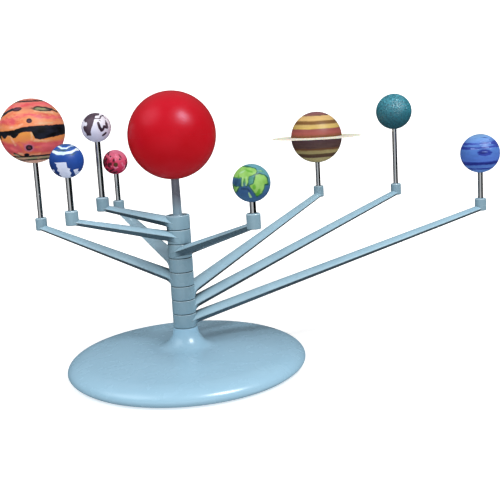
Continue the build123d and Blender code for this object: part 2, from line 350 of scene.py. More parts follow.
def sun_red():
    """Satin red lacquer with a faint orange-peel skin, and painted shade darker towards the bottom."""
    skin = Surface("sun_red")
    cloud = skin.noise(38, 3)
    peel = skin.noise(650, 2)
    # Painted shade by height: darker towards the bottom, a little more purple towards the top.
    tone = skin.attribute("tone")
    deep = skin.mix(tone, (206, 8, 14), (200, 14, 34))
    pale = skin.mix(tone, (212, 14, 22), (208, 20, 42))
    colour = skin.mix(skin.span(cloud, 0.3, 0.7), deep, pale)
    colour = skin.times(colour, skin.span(tone, 0.0, 0.9, 0.78, 0.9, False))
    roughness = skin.span(skin.noise(160, 4), 0.3, 0.7, 0.28, 0.36)
    normal = skin.bump(peel, 0.0001, 0.4)
    tint = (0.66, 0.72, 1.0, 1.0)
    shine = dict(IOR=1.42, Specular_IOR_Level=0.2, Specular_Tint=tint)
    return skin.finish(colour, roughness, normal, **shine)


def ring_cream():
    """Thin translucent cream plastic with faint concentric bands."""
    skin = Surface("ring_cream")
    centre = node_centre("saturn_ring")
    inputs = {0: skin.place, 1: tuple(centre)}
    radius = skin.add("VectorMath", inputs, operation="DISTANCE").outputs["Value"]
    groove = skin.math("SINE", skin.math("MULTIPLY", radius, GROOVES))
    cloud = skin.noise(90, 3)
    share = skin.math("ADD", skin.math("MULTIPLY_ADD", groove, 0.12), cloud)
    colour = skin.mix(skin.span(share, 0.3, 0.8), (240, 232, 208), (252, 246, 226))
    normal = skin.bump(groove, 0.00002, 0.5)
    roughness = skin.span(cloud, 0.3, 0.7, 0.5, 0.62)
    return skin.finish(
        colour, roughness, normal, IOR=1.46, Specular_IOR_Level=0.15, Subsurface_Weight=0.2,
        Subsurface_Scale=1 * MM,
    )


def painted(name, bands, layers, warp, stretch):
    """Hand-painted ball: bands of base colour by the attribute 'tone', then layers of brushwork.

    Each band is (tone in percent, red, green, blue), and each layer (attribute, colour, second
    colour, softness). The attribute is the distance to the edge of the painted shape in ball
    radii, below 0 inside it. The warp makes the bands ragged, and the stretch draws the brush
    marks out level.
    """
    grain, ragged_edge, soft_edge = 0.1, 0.018, 0.012
    skin = Surface(name)
    spread = skin.add("Mapping", {"Vector": skin.place, "Scale": (1, 1, stretch)}).outputs[0]
    brush = skin.noise(220, 4, 0.6, spread)
    cloud = skin.noise(110, 3, 0.5, spread)
    shift = skin.span(brush, 0.2, 0.8, -warp, warp, False)
    shifted = skin.math("ADD", skin.attribute("tone"), shift)
    colour = skin.ramp(shifted, [(tone / PERCENT, linear(*colour)) for tone, *colour in bands])
    relief = 0.0
    for attribute, first, second, softness in layers:
        rough = ragged_edge + softness
        soft = soft_edge + softness
        ragged = skin.span(brush, 0.2, 0.8, -rough, rough, False)
        edge = skin.math("ADD", skin.attribute(attribute), ragged)
        share = skin.span(edge, soft, -soft)
        paint = skin.mix(skin.span(cloud, 0.35, 0.65), first, second)
        colour = skin.mix(share, colour, paint)
        relief = skin.math("ADD", share, relief)
    colour = skin.times(colour, skin.span(cloud, 0.25, 0.75, 1 - grain, 1 + grain, False))
    normal = skin.bump(relief, 0.00006, 0.6)
    normal = skin.bump(brush, 0.00006, 0.4, normal)
    roughness = skin.span(cloud, 0.3, 0.7, 0.38, 0.5)
    return skin.finish(colour, roughness, normal, IOR=1.48, Specular_IOR_Level=0.22)


def crackled(name, dark, light):
    """Dark paint with a wrinkled, crackled skin, lighter upwards as painted shade, and painted highlight
    threads.
    """
    skin = Surface(name)
    tone = skin.attribute("tone")
    wrinkle = skin.noise(900, 2, 0.5)
    inputs = {"Vector": skin.place, "Scale": 700}
    cells = skin.add("TexVoronoi", inputs, feature="DISTANCE_TO_EDGE").outputs["Distance"]
    # Painted shade: darker towards the bottom and the left.
    colour = skin.mix(skin.span(tone, 0.1, 0.95), dark, light)
    # Painted highlight: fine bright threads on the wrinkles, more of them towards the top.
    thread_share = skin.span(tone, 0.4, 0.85, 0.1, 0.6)
    painted_highlight_thread = skin.math("MULTIPLY", skin.span(wrinkle, 0.5, 0.68), thread_share)
    colour = skin.mix(painted_highlight_thread, colour, (106, 206, 226))
    # Painted shade in the hollows of the wrinkles.
    colour = skin.mix(skin.span(wrinkle, 0.5, 0.34, 0, 0.5), colour, (14, 52, 66))
    normal = skin.bump(wrinkle, 0.0006, 0.8)
    normal = skin.bump(skin.span(cells, 0.0, 0.15), 0.0002, 0.4, normal)
    roughness = skin.span(wrinkle, 0.3, 0.7, 0.4, 0.24)
    return skin.finish(colour, roughness, normal, IOR=1.5)


# ---- Painted shapes


class BallView:
    """Where each point of a ball lies for an observer in front: right, up and towards them."""

    def __init__(self, centre, radius, points):
        toward = (CAMERA_PLACE - centre).normalized()
        side = camera_axes()[0]
        right = (side - toward * side.dot(toward)).normalized()
        up = toward.cross(right)
        spokes = (np.asarray(points) - np.array(centre)) / radius
        self.seen = spokes @ np.array([right, up, toward]).T
        self.height = spokes[:, 2]
        ahead = np.array((*toward.xy, 0))
        self.turn = np.degrees(np.arctan2(spokes @ np.array(right), spokes @ ahead))
        self.spokes = spokes

    def lift(self, x, y):
        """The point on the ball, in radii, that shows at (x, y)."""
        x, y = x / PERCENT, y / PERCENT
        x, y = np.array((x, y)) * min(1.0, 0.995 / max(1e-6, math.hypot(x, y)))
        return np.array((x, y, math.sqrt(max(0.0, 1 - x * x - y * y))))

    def stroke(self, width, *places):
        """A brush stroke through the places, of a width that may change from end to end."""
        ends = [self.lift(*place) for place in places]
        given = np.atleast_1d(width) / PERCENT
        widths = np.interp(np.linspace(0, 1, len(ends)), np.linspace(0, 1, len(given)), given)
        nearest = np.full(len(self.seen), 9.0)
        for (a, b), (wide_a, wide_b) in zip(zip(ends, ends[1:]), zip(widths, widths[1:])):
            along = np.clip(((self.seen - a) @ (b - a)) / max(1e-9, (b - a) @ (b - a)), 0, 1)
            gap = np.linalg.norm(self.seen - a - along[:, None] * (b - a), axis=1)
            nearest = np.minimum(nearest, gap - (wide_a + (wide_b - wide_a) * along) / 2)
        return nearest

    def spot(self, x, y, across, tall=None, tilt=0.0):
        """An oval spot, by its half width and half height."""
        across, tall = across / PERCENT, (tall or across) / PERCENT
        middle = self.lift(x, y)
        offset = self.seen - middle
        cos, sin = math.cos(math.radians(tilt)), math.sin(math.radians(tilt))
        u = (offset[:, 0] * cos + offset[:, 1] * sin) / across
        v = (offset[:, 1] * cos - offset[:, 0] * sin) / tall
        w = offset[:, 2] * (self.seen @ middle < 0.2)
        return (np.sqrt(u * u + v * v + (4 * w) ** 2) - 1) * min(across, tall)

    def patch(self, *corners):
        """A filled outline on the side that faces the observer."""
        corners = [(x / PERCENT, y / PERCENT) for x, y in corners]
        x, y = self.seen[:, 0], self.seen[:, 1]
        nearest = np.full(len(x), 9.0)
        inside = np.zeros(len(x), bool)
        for (ax, ay), (bx, by) in zip(corners, corners[1:] + corners[:1]):
            ex, ey = bx - ax, by - ay
            along = np.clip(((x - ax) * ex + (y - ay) * ey) / max(1e-12, ex * ex + ey * ey), 0, 1)
            nearest = np.minimum(nearest, np.hypot(x - ax - along * ex, y - ay - along * ey))
            crosses = (ay > y) != (by > y)
            if ey:
                inside ^= crosses & (x < (y - ay) * ex / ey + ax)
        signed = np.where(inside, -nearest, nearest)
        return signed + np.maximum(0, 0.05 - self.seen[:, 2]) * 4

    def shape(self, *parts):
        """One field of several parts, which are fields or plain numbers.

        Numbers are a belt as (low, high), a stroke as (width, place, place, ...) or a spot as
        (x, y, across, tall, tilt), where the last two can be left out.
        """
        fields = []
        for part in parts:
            if isinstance(part, np.ndarray):
                fields.append(part)
            elif len(part) == 2:
                fields.append(self.band(*part))
            elif isinstance(part[1], tuple):
                fields.append(self.stroke(*part))
            else:
                fields.append(self.spot(*part))
        return np.minimum.reduce(fields)

    def band(self, low, high):
        """A belt between two heights, each one number or a list of (turn in degrees, height)."""
        edges = []
        for edge in (low, high):
            if isinstance(edge, (int, float)):
                edge = [(0, edge)]
            turns, heights = np.transpose(edge)
            edges.append(np.interp(self.turn, turns, heights / PERCENT, period=360))
        return np.maximum(edges[0] - self.height, self.height - edges[1])

    def mottle(self, scale, seed, level):
        """Irregular patches all round, and more of them the higher the level."""
        shift = Vector((seed * 7.3, seed * 3.1, seed * 5.7))
        rough = [noise.fractal(Vector(p) * scale + shift, 1.0, 2.0, 3) for p in self.spokes]
        return (np.array(rough) * -1 - level) * 0.5

    def behind(self, field):
        """The field only on the side away from the observer."""
        return field + np.clip(self.seen[:, 2] + 0.12, 0, 1) * 3


def waves(view, count, size, seed):
    """A gentle rise and fall round the ball, in ball radii."""
    turn = np.radians(view.turn)
    ripple = np.sin(count * turn + seed) + 0.6 * np.sin((2 * count + 1) * turn + 2.1 * seed)
    return size * ripple / 1.6


def paint_jupiter(view):
    upper_edge = [
        (-150, 15), (-95, 6), (-60, 5), (-32, 7.5), (-17, 15), (0, 17.5), (25, 17), (70, 16), (120, 18),
    ]
    lower_edge = [
        (-120, -6), (-92, -12), (-80, -16), (-73, -20), (-66, -8), (-60, -17), (-54, -18), (-46, -8),
        (-40, -9), (-35, -16), (-29, -15), (-23, -4), (-18, 0), (-1, 0), (4, -20), (13, -25), (30, -21),
        (55, -17), (80, -15), (105, -10), (130, -2), (160, -14), (200, -3),
    ]
    ink = view.shape(
        (lower_edge, upper_edge), ([(-180, 90), (0, 88.5), (180, 90)], [(-180, 93), (0, 93), (180, 93)]),
        (-77.5, -72), (-88.5, -83.5), ((15, 12), (-90, 42), (-76, 53), (-56, 64)), (-43, 65, 14, 6, 6),
        (31, 66.5, 31, 7.2, -3), ((10, 7), (45, 67), (76, 58)), (-8.5, 29.8, 8.5, 7),
        (-10.5, -50, 10.5, 8.5), ((12, 5), (-52, -70), (-34, -76)), (-18, -73, 8, 6),
        ((4, 6), (-78, -60), (-64, -74)), (4, (-28, -94), (-14, -95)), (3.5, (-92, -20), (-86, -42)),
        view.behind(view.band([(140, 48), (180, 52), (220, 50)], [(140, 50), (180, 62), (220, 52)])),
        view.behind(
            view.band([(110, -50), (150, -46), (200, -50)], [(110, -48), (150, -38), (200, -47)]),
        ),
    )
    core = view.shape((-42, 65, 8.5, 3, 6), (-8.5, 29.5, 4.5, 3), (-11, -50, 5.5, 4))
    wash = view.shape((26, 66, 17, 3.6, -2), (-83, -78), (-47, -74, 7, 2.5, -20))
    rose = view.shape(
        (
            [(-90, 26), (-50, 30), (-20, 42), (-5, 47), (20, 36), (80, 30), (180, 40)],
            [(-90, 36), (-50, 44), (-20, 52), (-5, 56), (20, 46), (80, 42), (180, 50)],
        ),
        ([(-60, 70), (0, 77), (60, 74), (180, 70)], [(-60, 82), (0, 87), (60, 86), (180, 80)]),
        ((12, 18), (-90, 28), (-55, 25)), ((14, 20), (-88, -36), (-66, -48), (-50, -62)),
        ((10, 16), (-10, -36), (30, -40), (85, -36)), ((8, 10), (20, -56), (75, -54)),
    )
    ember = view.shape(
        ((10, 14), (-95, 20), (-60, 16), (-30, 24)), ((9, 12), (-40, -36), (-20, -62), (20, -66)),
        ((8, 10), (10, -47), (85, -46)), ((8, 12), (10, 52), (50, 46), (85, 40)),
        (8, (-80, 42), (-50, 50)),
    )
    cream = view.shape(
        (4.5, (-97, 11), (-60, 10), (-42, 12), (-28, 20)), ((4, 7), (10, 22), (50, 24), (95, 24)),
        ((3, 7), (10, 60), (40, 57), (62, 55)), (4, (-62, -20), (-50, -42)),
        (3.5, (-76, -16), (-66, -14)), ((4, 6), (6, -27), (40, -29), (95, -22)), (5, (-2, -5), (-1, -24)),
        (4, (-40, -68), (20, -69)),
    )
    halo = view.spot(-11, -50.5, 14.5, 12.5)
    tone = (view.height + waves(view, 3, 0.035, 0.4) + 1) / 2
    return dict(tone=tone, ember=ember, rose=rose, cream=cream, halo=halo, ink=ink, core=core, wash=wash)


def paint_saturn(view):
    tone = (view.height + waves(view, 2, 0.008, 1.3) + 1) / 2
    thin = view.shape((85, 87), (-22, -18), (-37, -33.5))
    warm = view.shape((2, 10), (-46, -40))
    return dict(tone=tone, warm=warm, thin=thin)


def paint_mercury(view):
    dark = view.shape(
        view.patch(
            (-80, 50), (-62, 72), (-40, 88), (-6, 97), (24, 93), (20, 80), (-4, 76), (-9, 60), (-15, 36),
            (-24, 10), (-32, -10), (-36, -30), (-32, -54), (-62, -56), (-66, -40), (-80, -22), (-86, 0),
            (-78, 10), (-64, 6), (-58, 22), (-62, 36), (-72, 32),
        ),
        ((6, 10), (-10, 58), (26, 58), (31, 74), (48, 80)), (6, (44, 78), (62, 60)),
        ((17, 20), (14, 30), (22, 0), (35, -20)), ((20, 13), (35, -20), (46, -14), (52, 8)),
        ((20, 24), (56, 4), (72, 2), (68, 24)), ((20, 7), (68, 24), (62, 46)),
        ((5, 8), (76, 56), (90, 30), (95, 2)), (17, (44, -52), (62, -38)),
        (5, (-90, 32), (-95, 0), (-90, -20)), (7, (-56, -76), (-42, -86)), (5, (20, 48), (30, 42)),
        view.behind(view.mottle(1.7, 1, -0.02)),
    )
    # Painted shade: the base colour lightens towards the top and the observer's right.
    tone = (view.height + 0.1 * view.seen[:, 0] + 1) / 2
    return dict(tone=tone, dark=dark)


def paint_venus(view):
    white = view.shape(
        ((16, 22, 18), (-78, 55), (-50, 44), (-15, 42)), ((18, 14, 20), (-15, 43), (25, 49), (63, 68)),
        ((10, 14, 10), (-46, 84), (-26, 72), (0, 72), (36, 88)),
    )
    teal = view.shape(
        ((10, 5), (-60, 62), (-30, 62), (-8, 60), (18, 68), (43, 81)),
        ((4, 7), (0, 30), (35, 36), (60, 52)), (93, 96),
    )
    pale = view.shape(
        view.patch(
            (-70, -10), (-2, -7), (0, -26), (3, -40), (20, -44), (15, -56), (26, -70), (20, -84),
            (30, -99), (-26, -99), (-34, -84), (-42, -80), (-40, -66), (-54, -56), (-50, -42), (-60, -30),
            (-58, -20),
        ),
        view.patch((36, -50), (67, -44), (62, -58), (84, -60), (53, -90), (46, -74)), (-76, -58, 8),
        view.behind(view.mottle(1.5, 4, -0.05)),
    )
    # Painted shade: the base colour lightens towards the top and the observer's right.
    tone = (view.height + 0.35 * view.seen[:, 0] + 1.35) / 2.7
    return dict(tone=tone, pale=pale, white=white, teal=teal)


def paint_earth(view):
    land = view.shape(
        view.patch(
            (-100, 30), (-88, 60), (-60, 92), (-15, 84), (22, 76), (30, 60), (24, 46), (2, 36), (-12, 30),
            (-16, -6), (-26, -18), (-32, 0), (-36, 20), (-41, -2), (-48, -18), (-54, -10), (-52, 26),
            (-62, 24), (-86, 26),
        ),
        view.patch(
            (18, 44), (40, 50), (66, 43), (84, 28), (88, -7), (70, -10), (66, -31), (55, -55), (29, -70),
            (14, -52), (-8, -22), (-15, -12), (8, -2), (12, 16),
        ),
        view.patch((-100, -2), (-86, -14), (-60, -18), (-74, -46), (-90, -52)),
        view.behind(view.mottle(1.4, 9, 0.02)),
    )
    shore = np.abs(land + 0.01) - 0.03
    pale = view.shape(
        ((5, 7), (-44, 30), (-46, -12)), ((5, 7), (-26, 30), (-28, -10)),
        ((6, 11), (-14, -50), (-4, -72)), ((3, 6), (28, 62), (50, 62)), (4, (-70, -20), (-80, -40)),
        (-50, 55, 16, 5, 30),
    )
    teal = view.shape(
        view.patch((-12, 28), (10, 38), (17, 20), (12, 0), (-10, -8)),
        ((10, 16), (10, 42), (30, 62), (60, 58)),
    )
    spot = view.shape(
        (14, -20, 11, 15), ((20, 10), (32, -56), (40, -34)), ((7, 3), (-36, 20), (-37, -12)),
        (-66, 36, 5, 10), (-10, 60, 20, 5, -20),
    )
    navy = view.shape(
        view.patch((-86, 20), (-54, 22), (-53, -14), (-65, -17), (-86, -8)),
        ((8, 3), (-50, -30), (-20, -30), (0, -50)),
    )
    # Painted shade: the base colour lightens towards the top and the observer's right.
    tone = (view.height + 0.25 * view.seen[:, 0] + 1.25) / 2.5
    return dict(tone=tone, navy=navy, teal=teal, land=land, shore=shore, pale=pale, spot=spot)


def paint_mars(view):
    dark = view.shape(
        (-69, 22, 7, 11), (-13, 14, 7, 12), (7, (34, 50), (46, 38)), (36, 22, 7), (-50, -20, 10, 15),
        (-35, -16, 7, 13), (-46, -40, 10, 7), (-93, 5, 10, 22), (-88, -25, 9, 14), (-72, -16, 6, 12),
        (-57, 76, 15, 6, 25), (-54, 57, 6), ((10, 18), (-15, -58), (-42, -76)), (-10, -86, 16, 8),
        (10, -80, 7), (93, -20, 6, 18), (84, -40, 7, 12), (82, 10, 5), (-66, -60, 13, 9, -30),
        view.mottle(4.5, 2, -0.36) + 0.35 * np.clip(view.seen[:, 0] + 0.35, 0, 1),
    )
    wine = view.shape(
        (-72, 0, 30, 50), (-30, -70, 50, 22, -10), (10, (30, 58), (50, 30)), (-13, 5, 13, 20),
        (93, -20, 12, 40),
    )
    olive = view.shape((4, -23, 18, 19), view.behind(view.mottle(2.4, 6, -0.35)))
    rose = view.shape(
        ((20, 12), (-45, 38), (10, 42)), (12, (55, -10), (62, -30)), view.mottle(3.0, 8, -0.3),
    )
    # Painted shade: the base colour lightens towards the top and the observer's right.
    tone = (view.height + 0.2 * view.seen[:, 0] + 1.2) / 2.4
    return dict(tone=tone, rose=rose, wine=wine, dark=dark, olive=olive)


def paint_uranus(view):
    # Painted shade and highlight: the tone rises towards the top and the observer's right.
    return dict(tone=(view.height + 0.12 * view.seen[:, 0] + 1.12) / 2.24)


def paint_neptune(view):
    navy = view.shape(
        (
            [(-110, 44), (-60, 47), (-20, 50), (20, 54), (60, 44), (180, 50)],
            [(-110, 60), (-60, 60), (-20, 57), (20, 60), (60, 66), (180, 62)],
        ),
        (
            [(-110, 24), (-50, 25), (-10, 28), (20, 33), (50, 33), (100, 30), (180, 30)],
            [(-110, 39), (-50, 40), (-10, 37), (20, 40), (50, 44), (100, 46), (180, 38)],
        ),
        ((3, 5), (-30, 74), (20, 80), (60, 70)), ((2, 6), (0, 66), (50, 68), (75, 56)), (22, 3, 36, 17),
        ([(-90, -56), (0, -55), (90, -48), (180, -50)], [(-90, -35), (0, -38), (90, -36), (180, -38)]),
        (-79, -71),
    )
    rim = view.shape((14, 3, 20, 9), (-53, -43))
    pale = view.shape(
        ((3, 6), (0, 60), (40, 68)), ((5, 8), (0, 44), (50, 52)), (3.5, (10, 33), (40, 31)),
        ((4, 2), (-45, 22), (-5, 20)), (3, (50, 22), (90, 30)), (2, (10, 8), (36, 6)),
    )
    tone = (view.height + waves(view, 2, 0.03, 2.0) + 1) / 2
    return dict(tone=tone, navy=navy, rim=rim, pale=pale)


# ---- The object's pieces


def ball_place(name):
    """Centre and radius of a ball, from its two halves in the frame."""
    low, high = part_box(f"{name}_upper")
    radius = (high.x - low.x) / 2
    return Vector(((low.x + high.x) / 2, (low.y + high.y) / 2, high.z - radius)), radius


def half_outline(radius, upper, joint, bore, rows):
    """Outline of one half shell, from its inner joint edge back to where its outer arc starts."""
    inner = radius - WALL
    start, inner_start = np.degrees(np.arcsin([(joint + SEAM_EDGE) / radius, joint / inner]))
    end, inner_end = (90.0, 90.0) if upper else np.degrees(np.arccos([bore / radius, bore / inner]))
    outer_arc = arc((0, 0), radius, start, end, rows)
    inner_arc = arc((0, 0), inner, inner_end, inner_start, rows // 3)
    if upper:
        outer_arc[-1], inner_arc[0] = (0.0, radius), (0.0, inner)
    lip = (math.sqrt(inner**2 - joint**2) + LIP_WIDTH, joint)
    seam = (math.sqrt(radius**2 - joint**2) - SEAM_EDGE, joint)
    outline = [seam, lip, *inner_arc[::-1], *outer_arc[::-1]]
    return [(across, up if upper else -up) for across, up in outline]


def wrinkle(shell, centre, radius, depth):
    """Presses fine random wrinkles into the outside of a shell."""
    for vertex in shell.data.vertices:
        spoke = vertex.co - centre
        if spoke.length > radius - 0.05 * MM and abs(spoke.z) > 0.3 * MM:
            rise = noise.fractal(spoke * 850, 0.8, 2.0, 2)
            vertex.co -= spoke.normalized() * depth * min(1.0, max(0.0, 0.5 + 1.4 * rise))


def painted_ball(name, body, paint, material, rows, wrinkles=0.0):
    """Both half shells of a ball, carrying the painted shapes as attributes."""
    centre, radius = ball_place(name)
    joint = 0.0
    if name == "saturn":
        low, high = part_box("saturn_ring")
        joint = (high.z - low.z) / 2
        centre.z = (high.z + low.z) / 2
    bore = SUN_BORE if name == "sun" else rod_size(name)
    for part in ("upper", "lower"):
        outline = half_outline(radius, part == "upper", joint, bore, rows)
        shell = revolved(f"{name}_{part}_shell", outline, centre, 3 * rows + 16, 40)
        if wrinkles:
            wrinkle(shell, centre, radius, wrinkles)
        points = np.array([vertex.co for vertex in shell.data.vertices])
        view = BallView(centre, radius, points)
        for key, field in paint(view).items():
            layer = shell.data.attributes.new(key, "FLOAT", "POINT")
            layer.data.foreach_set("value", np.asarray(field, np.float32))
        shell.data.materials.append(material)
        shell.visible_glossy = name != "sun"
        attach(shell, body)
        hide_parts(f"{name}_{part}")


# Tone by height alone, which the sun's paint uses for painted shade.
def sun_shade_tone(view):
    return dict(tone=(view.height + 1) / 2)


def bar_section(half_width, depth, narrowing=1.0):
    """Section of a bar as (across, up) points from the crest: crown, thin lip and narrower belly."""
    lip_top, lip_bottom = -CROWN_SHARE * depth, -(CROWN_SHARE + LIP_SHARE) * depth
    flat = half_width - BAR_EDGE
    crown = [(x, lip_top * abs(x / flat) ** CROWN_POWER) for x in np.linspace(flat, 0, 12)]
    tuck = (half_width * (1 - UNDERCUT * narrowing), lip_bottom - UNDERCUT * half_width)
    keel = (half_width * (1 - BELLY_NARROWING * narrowing), -KEEL_SHARE * depth)
    under_lip = (half_width - 0.3 * BAR_EDGE, lip_bottom - 0.2 * BAR_EDGE)
    lip, lip_pull = (half_width, lip_bottom), (half_width, lip_top)
    right = [tuck, under_lip, lip, *bezier(lip, lip_pull, lip_pull, crown[0], 4)[:-1], *crown]
    belly = bezier(tuck, ((tuck[0] + keel[0]) / 2, (tuck[1] + keel[1]) / 2), keel, keel, 5)
    belly += bezier(keel, (keel[0] * 0.8, -depth), (keel[0] * 0.5, -depth), (0, -depth), 6)
    left = [(-x, up) for x, up in reversed(right[:-1])]
    return right + left + [(-x, up) for x, up in belly[:-1]] + [(x, up) for x, up in reversed(belly)]


def arm_bar(name, outward, sideways, reach, collar_top, tip_crest):
    """The rising bar of an arm, spread a little where it meets the collar and the socket."""
    slope = (tip_crest - collar_top) / (reach - COLLAR_RADIUS)
    root_crest = collar_top - slope * (COLLAR_RADIUS - BAR_CREST_START)
    near = BAR_START + BAR_ROOT_RUN * np.linspace(0, 1, 15)
    far = reach - BAR_TIP_RUN * np.linspace(1, 0, 9)
    middle = np.linspace(near[-1], far[0], 12)[1:-1]
    points = []
    for place in [*near, *middle, *far]:
        share = (place - BAR_CREST_START) / (reach - BAR_CREST_START)
        crest = root_crest + (tip_crest - root_crest) * share
        wide, deep = (root + (tip - root) * share for root, tip in zip(BAR_ROOT, BAR_TIP))
        spread = max(0.0, 1 - (place - BAR_START) / SPREAD_RUN)
        spread = spread * spread * (3 - 2 * spread)
        wide += (ROOT_SPREAD - wide) * spread
        centre = outward * place
        for across, up in bar_section(wide, deep, 1 - spread):
            points.append(centre + sideways * across + Vector((0, 0, crest + up)))
    count = len(bar_section(*BAR_ROOT))
    rings = [list(range(first, first + count)) for first in range(0, len(points), count)]
    return mesh_object(name, points, [*loft(rings), rings[0][::-1], rings[-1]])


def arm(name, material):
    """One moulded arm: collar, rising bar and the socket that holds the rod."""
    node = f"{name}_arm"
    low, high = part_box(node)
    rod = node_centre(f"{name}_rod")
    reach = rod.xy.length
    outward = Vector((rod.x, rod.y, 0)).normalized()
    sideways = Vector((-outward.y, outward.x, 0))
    collar_low, collar_top = low.z, low.z + COLLAR_HEIGHT
    socket_top, socket_low = high.z, high.z - SOCKET_HEIGHT
    foot = (rod.x, rod.y, 0)

    collar = rounded_post(COLLAR_RADIUS, collar_low, collar_top, COLLAR_EDGE, COLLAR_EDGE)
    made = revolved(f"{name}_arm_moulding", collar, segments=128)
    tip_crest = socket_low + BAR_TIP[1] + BAR_TIP_RISE
    bar = arm_bar("bar", outward, sideways, reach, collar_top, tip_crest)
    post = rounded_post(SOCKET_RADIUS, socket_low, socket_top, SOCKET_FOOT_EDGE, SOCKET_RIM, 7)
    socket = revolved("socket", post, foot, 72)
    combine(made, [bar, socket])

    past = collar_top + CUT_PAST
    bore_outline = [(0, collar_low - CUT_PAST), (COLLAR_BORE, collar_low - CUT_PAST)]
    if name == PLANETS[0]:
        recess = collar_top - TOP_RECESS_DEPTH
        wide = TOP_RECESS_RADIUS
        bore_outline += [(COLLAR_BORE, recess), (wide, recess), (wide, past)]
    else:
        bore_outline += [(COLLAR_BORE, past)]
    bore = revolved("bore", [*bore_outline, (0, past)], segments=96)
    rod_radius = rod_size(name)
    wide, past, floor = rod_radius + SOCKET_LEAD, socket_top + CUT_PAST, socket_low + SOCKET_FLOOR
    hole_outline = [(0, floor), (rod_radius, floor), (rod_radius, socket_top - SOCKET_LEAD),
                    (wide, socket_top), (wide, past), (0, past)]
    hole = revolved("hole", hole_outline, foot, 48)
    combine(made, [bore, hole], "DIFFERENCE")
    smooth(made.data, 32)
    made.data.materials.clear()
    made.data.materials.append(material)
    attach(made, f"{name}_orbit")
    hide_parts(node)


def base_dome(material):
    """The round foot: neck, flare, shallow dome and rolled rim, with its hollow underside."""
    low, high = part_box("base_shell")
    rim_radius, rim_foot, neck_top = high.x, low.z, high.z
    neck, flare, crown = 8.7 * MM, 13.0 * MM, 15.8 * MM
    shoulder, shoulder_pull = (70.0 * MM, 12.9 * MM), 6.6 * MM
    rim_level, rim_rise, rim_drop = 5.0 * MM, 4.4 * MM, 2.2 * MM
    foot, foot_pull = (80.4 * MM, rim_foot), (81.4 * MM, rim_foot + 0.88 * MM)
    seat, seat_top, seat_width = 77.6 * MM, 3.0 * MM, 1.6 * MM
    roof_rim, roof_top = (72.0 * MM, 9.1 * MM), 13.2 * MM
    hub, hub_foot, bore = 17.0 * MM, 8.4 * MM, 4.55 * MM
    edge = 0.35 * MM
    start = neck + flare
    run, drop = shoulder[0] - start, crown - shoulder[1]
    curve = (run**2 + drop**2) / (2 * drop)
    across = np.linspace(0, run, 40)[1:]
    dome = [(start + x, crown - curve + math.sqrt(curve**2 - x**2)) for x in across]
    tilt = math.asin(run / curve)
    out, down = shoulder_pull * math.cos(tilt), shoulder_pull * math.sin(tilt)
    pull = (shoulder[0] + out, shoulder[1] - down)
    rim = (rim_radius, rim_level)
    over = bezier(dome[-1], pull, (rim_radius, rim_level + rim_rise), rim, 30)
    under = bezier(rim, (rim_radius, rim_level - rim_drop), foot_pull, foot, 12)
    outline = [
        (bore, neck_top), *arc((neck - edge, neck_top - edge), edge, 90, 0, 4),
        *arc((start, crown + flare), flare, 180, 270, 28), *dome, *over, *under,
        (seat, rim_foot), (seat, seat_top), (seat - seat_width, seat_top), roof_rim,
        (hub, roof_top), (hub, hub_foot), (bore, hub_foot),
    ]
    made = revolved("base_dome", outline[::-1], segments=256, crease_degrees=38)
    made.data.materials.append(material)
    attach(made, "stand")
    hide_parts("base_shell")


def sun_stem(material):
    """Tapered post with a rounded shoulder that sits in the top collar."""
    low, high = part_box("sun_post")
    collar_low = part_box(f"{PLANETS[0]}_arm")[0].z
    gap = 0.3 * MM
    seat = collar_low + COLLAR_HEIGHT - TOP_RECESS_DEPTH + gap
    shoulder_top = seat + 1.4 * MM
    peg, shoulder, foot, head, pin = 2.6 * MM, 6.0 * MM, 3.2 * MM, 2.8 * MM, SUN_BORE
    pin_start = high.z - 18.0 * MM
    edge, fillet = 0.4 * MM, 0.7 * MM
    outline = [
        (0, low.z), (peg, low.z), (peg, seat), (shoulder, seat),
        *arc((shoulder - edge, shoulder_top - edge), edge, 0, 90, 4),
        *arc((foot + fillet, shoulder_top + fillet), fillet, 270, 180, 6),
        (head, pin_start), (pin, pin_start), (pin, high.z), (0, high.z),
    ]
    made = revolved("sun_stem", outline[::-1], segments=72, crease_degrees=35)
    made.data.materials.append(material)
    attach(made, "stand")
    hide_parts("sun_post")


def thin_ring(material):
    """Saturn's ring: a thin disc that tapers to its rim, with shallow grooves."""
    low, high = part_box("saturn_ring")
    centre = (low + high) / 2
    outer, half = (high.x - low.x) / 2, (high.z - low.z) / 2
    radii = np.linspace(RING_INNER, outer - 0.5 * MM, 60)
    ball = ball_place("saturn")[1]
    taper = half * np.interp(radii, [ball + 0.1 * MM, ball + 0.7 * MM, outer], [1.0, 0.34, 0.26])
    groove = 0.03 * MM * (0.5 + 0.5 * np.sin((radii - RING_INNER) * GROOVES))
    thick = taper - groove
    rim = arc((outer - thick[-1], 0), thick[-1], 80, -80, 8)
    outline = [*zip(radii, thick), *rim, *zip(radii[::-1], -thick[::-1])]
    made = revolved("saturn_ring_disc", outline[::-1], centre, 192, 50)
    made.data.materials.append(material)
    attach(made, "saturn_orbit")
    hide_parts("saturn_ring")


# ---- Stage


def camera_axes():
    """The camera's right, up and forward directions."""
    pitch, yaw, roll = CAMERA_PITCH, CAMERA_YAW, CAMERA_ROLL
    ahead = math.cos(pitch)
    forward = Vector((math.sin(yaw) * ahead, math.cos(yaw) * ahead, -math.sin(pitch)))
    level = Vector((math.cos(yaw), -math.sin(yaw), 0))
    over = level.cross(forward)
    right = level * math.cos(roll) - over * math.sin(roll)
    up = over * math.cos(roll) + level * math.sin(roll)
    return right, up, forward


